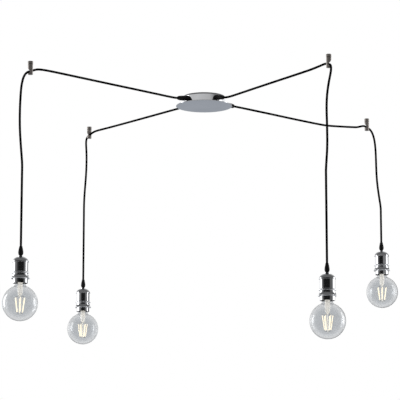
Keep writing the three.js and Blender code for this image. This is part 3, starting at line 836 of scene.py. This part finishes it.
def make_cup_grip(number):
    """The strain relief: its nut inside the cup, its flange outside and a ribbed sleeve that droops."""
    grip = cup_grip
    nut_end, flange_end = grip.nut_start + grip.nut_length, grip.flange_start + grip.flange_length
    waist, tip = (grip.waist_radius, flange_end), (grip.tip_radius, grip.tip)
    sleeve = []
    for radius, along in hermite(waist, grip.sleeve_start, tip, grip.sleeve_end, 30):
        share = share_between(along, flange_end + grip.ribs_start, grip.tip - grip.ribs_end)
        sleeve.append((radius - grip.rib_depth * sin(pi * grip.rib_count * share) ** 2, along))
    bore, neck = CABLE_RADIUS + grip.clearance, grip.neck_radius - grip.clearance
    corners = [
        (grip.nut_radius * grip.nut_face_share, grip.nut_start),
        (grip.nut_radius, grip.nut_start + grip.nut_edge),
        *stairs(grip.nut_radius, nut_end, neck, grip.flange_start, grip.flange_radius, flange_end),
        waist,
    ]
    mouth = stairs(grip.tip_radius, grip.tip, bore, grip.tip - grip.mouth_depth)
    outline = on_axis(rounded(corners, SOFT_EDGE) + sleeve + rounded(mouth, FINE_EDGE))

    def six_sides(angle, radius, height):
        if height > nut_end or radius < grip.neck_radius:
            return radius
        return min(radius, grip.nut_radius * cos(pi / 6) / cos(angle % (pi / 3) - pi / 6))

    made = lathe(f"rose_cord_grip_{number}", outline, 60, swell=six_sides)
    root = up(sleeve_root())
    for vertex in made.data.vertices:
        share = share_between(vertex.co.z, flange_end, flange_end + grip.bend_length)
        turn = Matrix.Rotation(grip.droops[number] * share, 3, "Y")
        vertex.co = root + turn @ (vertex.co - root)
    lay_down = Matrix.Translation(up(-grip.height)) @ Matrix.Rotation(pi / 2, 4, "Y")
    moved(made, outward(number) @ lay_down)
    piece(made, "root", BLACK_PLASTIC, f"canopy_cord_grip_{number}")


# The ceiling hooks, with the side to which each slot opens and each post's turn from its bearing

hook = Sizes(
    radius=0.0068, height=0.0366, face_share=0.4, collar_radius=0.0071, collar_height=0.008,
    groove_depth=0.0006, groove_height=0.0009, edge=0.0009, seat_depth=0.027, slot_radius=0.0047,
    slot_slope=radians(21.8), mouth_slope=radians(43), sides={1: -1, 2: 1, 3: 1, 4: 1},
    turns={1: 0.0, 2: radians(-12), 3: 0.0, 4: 0.0},
)


def make_hook(number):
    """A turned post with a slot that slants in from one side, down to the cable's seat."""
    groove, neck = -hook.collar_height - hook.groove_height, hook.radius - hook.groove_depth
    face = hook.radius * hook.face_share
    corners = stairs(
        face, -hook.height, hook.radius, groove, neck, -hook.collar_height, hook.collar_radius, 0, face,
    )
    post = lathe(f"ceiling_hook_post_{number}", on_axis(rounded(corners, hook.edge, steps=4)), 72)
    mouth_slope = hook.mouth_slope if hook.sides[number] > 0 else pi - hook.mouth_slope
    seat = arc(hook.slot_radius, mouth_slope + pi / 2, mouth_slope + 3 * pi / 2, 20)
    out = Vector((cos(mouth_slope), sin(mouth_slope))) * 3 * hook.radius
    mouth = [Vector(seat[-1]) + out, Vector(seat[0]) + out]
    slot = prism(f"hook_slot_{number}", seat + mouth, 2 * hook.height)
    stand_up = Matrix(((0, 0, 1, 0), (1, 0, 0, 0), (0, 1, 0, 0), (0, 0, 0, 1)))
    slope = Matrix.Rotation(hook.slot_slope, 4, "Y")
    moved(slot, Matrix.Translation(up(-hook.seat_depth)) @ slope @ stand_up)
    place = middle(f"ceiling_hook_{number}")
    turn = Matrix.Rotation(BEARING[number] + hook.turns[number], 4, "Z")
    post = moved(cut(post, [slot]), Matrix.Translation((place.x, place.y, 0)) @ turn)
    piece(post, "root", NICKEL, f"ceiling_hook_{number}")


# The lampholders, with heights from the shell's lower rim. A pair of lengths is the pull of a curve

shell = Sizes(
    radius=0.0203, thread_radius=0.0198, inner_radius=0.0185, thread_height=0.0302, height=0.0554,
    edge=0.0006, pitch=0.0016, depth=0.00003,
)
upper_ring = Sizes(
    bottom=0.0262, height=0.0036, radius=0.0225, bore=0.0203, edge=0.0007, flutes=90, depth=0.0003,
)
lower_ring = Sizes(
    bottom=0.0118, height=0.0099, top_radius=0.0218, radius=0.0244, lip=0.0024, throat=0.0046,
    wall=0.0012, bore=0.0203, edge=0.0006, flutes=72, depth=0.0004,
)
cap = Sizes(
    bottom=0.0557, height=0.0166, radius=0.0218, rim=0.0018, nipple_radius=0.007, nipple_height=0.0024,
    bore=0.004, wall=0.0014, under_share=0.6, edge=0.0007, dome_start=(-0.002, 0.016),
    dome_end=(-0.022, 0.0015),
)
lamp_grip = Sizes(
    bottom=0.0673, neck_radius=0.0034, face_share=0.5, neck_top=0.0739, belly_radius=0.0069,
    belly_share=0.3, tip_radius=0.0044, top=0.0979, clearance=0.0003, mouth_depth=0.007, flutes=10,
    depth=0.0005, neck_out=(0.007, 0.001), belly_in=(0, 0.006), belly_out=(0, 0.02),
    tip_in=(-0.0002, 0.012),
)
core = Sizes(
    radius=0.0182, bottom=0.012, top=0.05, bore=0.0138, bore_top=0.0428, stem_hole=0.0031, edge=0.0005,
    thread_margin=0.001,
)
screw_thread = Sizes(pitch=0.0036, depth=0.001)
contact = Sizes(
    bottom=0.0403, head_radius=0.0045, head_height=0.0014, face_share=0.3, stem_radius=0.0027,
    stem_height=0.005,
)


def lamp_piece(number, name, body, finish, node, outline, segments, **how):
    """Turns an outline about a lamp's axis into a piece of one of its pendant's bodies."""
    made = moved(lathe(f"{name}_{number}", outline, segments, **how), lamp_place(number))
    return piece(made, f"{body}_{number}", finish, f"{node}_{number}")


def make_lamp_grip(number):
    """The teardrop cord grip: a neck in the cap, a fluted belly and a long taper to the cable."""
    grip = lamp_grip
    neck, tip = (grip.neck_radius, grip.neck_top), (grip.tip_radius, grip.top)
    belly = (grip.belly_radius, grip.neck_top + grip.belly_share * (grip.top - grip.neck_top))
    face, bore = grip.neck_radius * grip.face_share, CABLE_RADIUS + grip.clearance
    outline = on_axis(
        rounded(stairs(face, grip.bottom, *neck), FINE_EDGE)
        + hermite(neck, grip.neck_out, belly, grip.belly_in, 12) + [belly]
        + hermite(belly, grip.belly_out, tip, grip.tip_in, 20)
        + rounded(stairs(*tip, bore, grip.top - grip.mouth_depth), FINE_EDGE)
    )
    press = flutes(grip.flutes, grip.depth, grip.neck_top, grip.top)

    def outside_only(angle, radius, height):
        return press(angle, radius, height) if radius > grip.neck_radius else radius

    lamp_piece(
        number, "holder_cord_grip", "holder", BLACK_PLASTIC, "lampholder_cord_grip", outline, 80,
        swell=outside_only,
    )


def make_cap(number):
    """The bell-shaped cap with a rim below and a nipple on top."""
    rim_top, top = cap.bottom + cap.rim, cap.bottom + cap.height
    foot, inner = (cap.nipple_radius, top - cap.nipple_height), cap.radius - cap.wall
    dome = hermite((cap.radius, rim_top), cap.dome_start, foot, cap.dome_end, 16)
    under = [(radius - cap.wall * cap.under_share, z - cap.wall) for radius, z in reversed(dome)]
    rim = rounded(stairs(inner, cap.bottom, cap.radius, rim_top - cap.edge), cap.edge / 2)
    nipple = rounded([foot, *stairs(cap.nipple_radius, top, cap.bore, foot[1] - cap.wall)], cap.edge / 2)
    outline = rim + dome + nipple + under + [(inner, rim_top - cap.wall)]
    lamp_piece(number, "holder_cap", "holder", CHROME, "lampholder_cap", outline, 120, closed=True)


def make_shell(number):
    foot = rounded(stairs(shell.inner_radius, 0, shell.thread_radius, 2 * shell.edge), shell.edge)
    threaded = levels(shell.thread_radius, 3 * shell.edge, shell.thread_height, shell.pitch / 8)
    body = rounded([
        threaded[-1], (shell.radius, shell.thread_height + shell.edge),
        *stairs(shell.radius, shell.height, shell.inner_radius),
    ], shell.edge / 2)[1:]
    cut_thread = thread(shell.pitch, shell.depth, 2 * shell.edge, shell.thread_height)
    lamp_piece(
        number, "holder_shell", "holder", CHROME, "lampholder_shell", foot + threaded + body, 120,
        closed=True, swell=cut_thread,
    )


def make_upper_ring(number):
    ring = upper_ring
    low, high = ring.bottom, ring.bottom + ring.height
    face = ring.radius - ring.edge
    side = levels(ring.radius, low + ring.edge, high - ring.edge, ring.height / 6)
    outline = [(ring.bore, low), (face, low), *side, (face, high), (ring.bore, high)]
    press = only_at(ring.radius, flutes(ring.flutes, ring.depth, low, high))
    lamp_piece(
        number, "shade_ring_upper", "upper_ring", CHROME, "upper_shade_ring", outline, 360,
        closed=True, swell=press,
    )


def make_lower_ring(number):
    """A collar on the thread that flares to a fluted lip, hollow underneath."""
    ring = lower_ring
    low, high = ring.bottom, ring.bottom + ring.height
    face, lip_top = ring.radius - ring.edge, low + ring.lip
    inside = stairs(ring.bore, low + ring.throat, ring.bore + ring.wall)
    inside = rounded(inside + [(ring.radius - ring.wall, low), (face, low)], ring.edge)
    lip = levels(ring.radius, low + ring.edge, lip_top - ring.edge, ring.edge / 2)
    outside = [(face, lip_top), (ring.top_radius, high - ring.lip)]
    outside = rounded(outside + stairs(ring.top_radius, high, ring.bore), ring.edge)
    press = only_at(ring.radius, flutes(ring.flutes, ring.depth, low, lip_top))
    lamp_piece(
        number, "shade_ring_lower", "lower_ring", CHROME, "lower_shade_ring", inside + lip + outside, 288,
        closed=True, swell=press,
    )


def make_core(number):
    """The white core with its threaded bore, which meets the rest in the middle of its lower corner."""
    corners = stairs(
        core.bore, core.bottom, core.radius, core.top, core.stem_hole, core.bore_top, core.bore,
    )
    outside = rounded(corners, core.edge, closed=True)[3:]
    low, high = core.bottom + core.thread_margin, core.bore_top - core.thread_margin
    bore = levels(core.bore, low, high, screw_thread.pitch / 10)[::-1]
    groove = thread(screw_thread.pitch, -screw_thread.depth, core.bottom, core.bore_top)
    lamp_piece(
        number, "holder_core", "holder", CERAMIC, "lampholder_core", outside + bore, 96,
        closed=True, swell=only_at(core.bore, groove),
    )


def make_contact(number):
    """The sprung contact: a brass button on its stem."""
    head_top = contact.bottom + contact.head_height
    corners = stairs(
        contact.head_radius * contact.face_share, contact.bottom, contact.head_radius, head_top,
        contact.stem_radius, head_top + contact.stem_height,
    )
    outline = on_axis(rounded(corners, SOFT_EDGE))
    lamp_piece(number, "contact_button", "contact", BRASS, "centre_contact", outline, 40)


# The bulbs, with heights from the lampholder's lower rim. A pair of lengths is the pull of a curve

base = Sizes(
    radius=0.0133, wall=0.0008, bottom=0.013, skirt=0.004, shoulder=0.0345, collar=0.0365,
    collar_radius=0.009, roof=0.034, tip=0.04, tip_height=0.0012, tip_radius=0.0042, tip_share=0.7,
    tip_edge=0.0006,
)
globe = Sizes(
    radius=0.0475, centre=-0.0525, wall=0.001, steps=44, neck_radius=0.0122, neck_top=0.02, throat=0.012,
    mouth_turn=radians(22), flare=0.013, flare_share=1.3,
)
stem = Sizes(
    flare_radius=0.0105, flare_top=0.0185, flare_foot=0.013, flare_out=(0, 0.005),
    flare_up=(0.004, 0.001), radius=0.007, taper_top=-0.025, taper_in=(0, 0.014), tip=-0.034,
    tip_length=0.002, tip_out=(0, 0.006),
)
sticks = Sizes(
    count=6, radius=0.00105, round_share=0.9, top_spread=0.0142, foot_spread=0.008, top=-0.037,
    foot=-0.078, pin=0.0016, rod=0.0011,
)

# The knob at the foot of the stem's rod, as (share of the rod's radius, depth below the sticks)
KNOB = [(0, 0.004), (0.8, 0.0036), (1.7, 0.002), (1, 0)]

# The wires from the stem to the sticks: where they leave the rod, and how they bend on the way, as
# (share of the sticks' spread, depth below the stem's tip or the sticks)
wire = Sizes(
    radius=0.00035, step=0.0015, root_height=0.001, upper_bends=[(0.35, 0.0005), (0.9, 0.0012)],
    lower_bends=[(0.6, 0.0016)], foot_depth=0.002,
)


def make_bulb_base(number):
    """The screw cap with its rounded thread, a black insulator and the tip."""
    inner, tip_foot = base.radius - base.wall, base.tip - base.tip_height
    collar = (base.collar_radius, base.collar)
    outside = levels(base.radius, base.bottom, base.shoulder, screw_thread.pitch / 10)
    outline = stairs(0, base.roof, inner, base.bottom) + outside + [collar, (0, base.collar)]
    cut_thread = thread(screw_thread.pitch, screw_thread.depth, base.bottom + base.skirt, base.shoulder)
    insulator = on_axis([collar, (base.tip_radius, tip_foot)])
    button = rounded(on_axis([
        (base.tip_radius, tip_foot), (base.tip_radius * base.tip_share, base.tip),
    ]), base.tip_edge)
    for name, finish, shape, segments, swell in (
        ("bulb_screw_cap", STEEL, outline, 96, only_at(base.radius, cut_thread)),
        ("bulb_insulator", BLACK_PLASTIC, insulator, 48, None),
        ("bulb_tip", STEEL, button, 32, None),
    ):
        lamp_piece(number, name, "bulb", finish, "bulb_base", shape, segments, swell=swell)


def glass_face(inset):
    """One face of the glass from the foot of the globe to the mouth of the neck."""
    radius, neck = globe.radius - inset, globe.neck_radius - inset
    face = [(0, globe.centre - radius)]
    for i in range(1, globe.steps + 1):
        turn = pi + (globe.mouth_turn - pi) * i / globe.steps
        face.append((radius * sin(turn), globe.centre + radius * cos(turn)))
    pull = (-cos(globe.mouth_turn) * globe.flare, sin(globe.mouth_turn) * globe.flare)
    face += hermite(face[-1], pull, (neck, globe.throat), (0, globe.flare * globe.flare_share), 14)
    return face + [(neck, globe.throat), (neck, globe.neck_top)]


def make_glass(number):
    outline = glass_face(0) + glass_face(globe.wall)[::-1]
    made = lamp_piece(number, "bulb_globe", "bulb", GLASS, "bulb_glass", outline, 128)
    made.visible_shadow = False


def make_stem(number):
    """The glass foot inside the bulb: a flare in the neck, a tube and a rod that carries the sticks."""
    tip, shoulder = (sticks.rod, stem.tip - stem.tip_length), (stem.radius, stem.taper_top)
    flare_foot, flare_top = (stem.radius, stem.flare_foot), (stem.flare_radius, stem.flare_top)
    outline = [
        *[(sticks.rod * share, sticks.foot - depth) for share, depth in KNOB],
        tip, *hermite(tip, stem.tip_out, shoulder, stem.taper_in, 14),
        shoulder, flare_foot, *hermite(flare_foot, stem.flare_out, flare_top, stem.flare_up, 6),
        flare_top, (0, stem.flare_top),
    ]
    made = lamp_piece(number, "bulb_stem", "bulb", STEM_GLASS, "bulb_filament", outline, 48)
    made.visible_shadow = False


def make_sticks(number):
    """The cone of glowing sticks and the wires that hold them."""
    upper = [(sticks.rod, stem.tip + wire.root_height)]
    upper += [(sticks.top_spread * share, stem.tip - depth) for share, depth in wire.upper_bends]
    lower = [(sticks.foot_spread * share, sticks.foot - depth) for share, depth in wire.lower_bends]
    lower += [(sticks.rod, sticks.foot - wire.foot_depth)]
    lit, wires = [], []
    for i in range(sticks.count):
        turn = Matrix.Rotation(2 * pi * i / sticks.count, 4, "Z")
        top = turn @ Vector((sticks.top_spread, 0, sticks.top))
        foot = turn @ Vector((sticks.foot_spread, 0, sticks.foot))
        way = (foot - top).normalized() * sticks.pin
        edge = sticks.radius * sticks.round_share
        lit.append(rod("stick", top + way, foot - way, sticks.radius, 16, edge))
        bends = [[turn @ Vector((x, 0, z)) for x, z in points] for points in (upper, lower)]
        for path in (bends[0] + [top, top + 2 * way], [foot - 2 * way, foot] + bends[1]):
            wires.append(tube("wire", smooth_route(path, wire.step), wire.radius, 8))
    for name, finish, parts in (("light_sticks", GLOW, lit), ("wires", STEEL, wires)):
        made = moved(joined(f"bulb_{name}_{number}", parts), lamp_place(number))
        piece(made, f"bulb_{number}", finish, f"bulb_filament_{number}")


make_cup()
make_disc()
make_bracket()
make_cup_screws()
make_terminal_block()
for number in NUMBERS:
    for make in (
        make_cup_grip, make_hook, make_lamp_grip, make_cap, make_shell, make_upper_ring, make_lower_ring,
        make_core, make_contact, make_bulb_base, make_glass, make_stem, make_sticks,
    ):
        make(number)


# Floor and light

FLOOR_HEIGHT = -2.4
FLOOR_RADIUS = 9.0

# How bright the studio is to polished metal: round about, from the back over the left, the front and
# the right, and overhead, from the front to the back, both as stops of (share, level)
STUDIO_AROUND = [
    (0, 1.0), (0.215, 1.0), (0.245, 0.85), (0.28, 0.6), (0.335, 0.54), (0.4, 0.58), (0.5, 0.53),
    (0.585, 0.47), (0.625, 0.36), (0.655, 0.22), (0.685, 0.2), (0.715, 0.38), (0.75, 0.62),
    (0.785, 0.85), (0.82, 1.0),
]
STUDIO_OVERHEAD = [(0, 0.13), (0.62, 0.13), (0.92, 0.5), (1, 0.6)]
STUDIO_BELOW = (0.337, 0.359, 0.395, 1)
STUDIO_SOFT = (0.55, 0.55, 0.55, 1)

# Between which heights of the line of sight the ceiling and the floor take over from the walls
OVERHEAD_FROM = (0.26, 0.4)
HORIZON = (-0.06, 0.02)

# The upright cards: the dark one round the front, from its left end to its right one, and the grey one
# behind on the right. Each fades along its foot, over stops of (share of its length, cover)
FRONT_CARD_RADIUS = 2.0
CARDS = [
    Sizes(
        name="dark_card_front", foot=arc(FRONT_CARD_RADIUS, radians(-180), radians(-15), 66),
        low=-1.6, high=0.15, grey=0.01, fade=[
            (0, 0.0), (0.06, 0.2), (0.133, 0.6), (0.212, 0.75), (0.273, 0.92), (0.333, 0.98),
            (0.376, 1.0), (0.733, 1.0), (0.752, 0.92), (0.77, 0.8), (0.812, 0.6), (0.921, 0.4), (1, 0.0),
        ],
    ),
    Sizes(
        name="grey_card_right", foot=[(0.6, 2.0), (1.45, 0.8)],
        low=-1.3, high=0.1, grey=0.12, fade=[(0, 0.0), (0.05, 1.0), (0.95, 1.0), (1, 0.0)],
    ),
]

# The two soft lamps
LAMPS = [
    Sizes(name="soft_light_left", place=Vector((-2.3, 0.4, -0.2)), power=11),
    Sizes(name="soft_light_right", place=Vector((2.3, 0.4, -0.2)), power=8),
]
LAMP_SIZE = (0.7, 1.6)
LAMP_TARGET = Vector((0, 0, -0.4))


def make_floor():
    made = Surface("pale_floor")
    cloud = made.noise(1.5, 2)
    made.vary("Base Color", cloud, (0.70, 0.70, 0.70), (0.76, 0.76, 0.76))
    made.set({"Roughness": 0.7})
    back = made.node("ShaderNodeNewGeometry").outputs["Backfacing"]
    clear = made.node("ShaderNodeBsdfTransparent").outputs[0]
    made.show(back, made.shader.outputs[0], clear)
    rim = [Vector((x, y, FLOOR_HEIGHT)) for x, y in arc(FLOOR_RADIUS, 0, 2 * pi, 96)[:-1]]
    floor = mesh_object("floor", rim, [tuple(range(len(rim)))])
    if floor.data.polygons[0].normal.z < 0:
        floor.data.flip_normals()
    floor.data.materials.append(made.material)


def make_card(card):
    """An upright card that only polished surfaces see, as a studio keeps round its object."""
    count = len(card.foot)
    corners = [Vector((*point, height)) for height in (card.low, card.high) for point in card.foot]
    faces = [(i, i + 1, count + i + 1, count + i) for i in range(count - 1)]
    sheet = mesh_object(card.name, corners, faces)
    along = sheet.data.uv_layers.new(name="along")
    for loop in sheet.data.loops:
        row, column = divmod(loop.vertex_index, count)
        along.data[loop.index].uv = (column / (count - 1), row)
    made = Surface(card.name)
    made.nodes.remove(made.shader)
    here = made.node("ShaderNodeUVMap", uv_map="along").outputs[0]
    across = made.node("ShaderNodeSeparateXYZ", {"Vector": here}).outputs["X"]
    clear = made.node("ShaderNodeBsdfTransparent").outputs[0]
    glow = made.node("ShaderNodeEmission", {"Color": (card.grey, card.grey, card.grey, 1)}).outputs[0]
    made.show(made.shades(across, card.fade), clear, glow)
    sheet.data.materials.append(made.material)
    for ray in ("camera", "diffuse", "transmission", "volume_scatter", "shadow"):
        setattr(sheet, f"visible_{ray}", False)


def make_lamp(lamp):
    data = bpy.data.lights.new(lamp.name, "AREA")
    data.shape = "RECTANGLE"
    data.size, data.size_y = LAMP_SIZE
    data.energy = lamp.power
    made = bpy.data.objects.new(lamp.name, data)
    made.location = lamp.place
    made.rotation_euler = (LAMP_TARGET - lamp.place).to_track_quat("-Z", "Y").to_euler()
    made.visible_camera = False
    scene.collection.objects.link(made)


def make_world():
    """White to the camera and through glass. Polished metal sees a studio: white behind the object,
    dimmer before it, a dark ceiling straight above and a grey floor below the horizon."""
    world = bpy.data.worlds.new("studio")
    world.use_nodes = True
    scene.world = world
    graph = Graph(world.node_tree)
    path = graph.node("ShaderNodeLightPath").outputs
    direction = graph.node("ShaderNodeTexCoord").outputs["Generated"]
    way = graph.node("ShaderNodeSeparateXYZ", {"Vector": direction}).outputs
    backness = graph.grow(way["Y"], -1, 1)
    turn = graph.math("ARCTAN2", way["X"], graph.math("MULTIPLY", way["Y"], -1.0))
    around = graph.shades(graph.grow(turn, -pi, pi), STUDIO_AROUND)
    overhead = graph.shades(backness, STUDIO_OVERHEAD)
    above = graph.blend(graph.grow(way["Z"], *OVERHEAD_FROM), around, overhead)
    polished = graph.blend(graph.grow(way["Z"], *HORIZON), STUDIO_BELOW, above)
    soft = graph.blend(path["Is Glossy Ray"], STUDIO_SOFT, polished)
    direct = graph.math("MAXIMUM", path["Is Camera Ray"], path["Is Transmission Ray"])
    seen = graph.blend(direct, soft, (1, 1, 1, 1))
    graph.links.new(seen, graph.nodes["Background"].inputs["Color"])


make_floor()
for card in CARDS:
    make_card(card)
for lamp in LAMPS:
    make_lamp(lamp)
make_world()
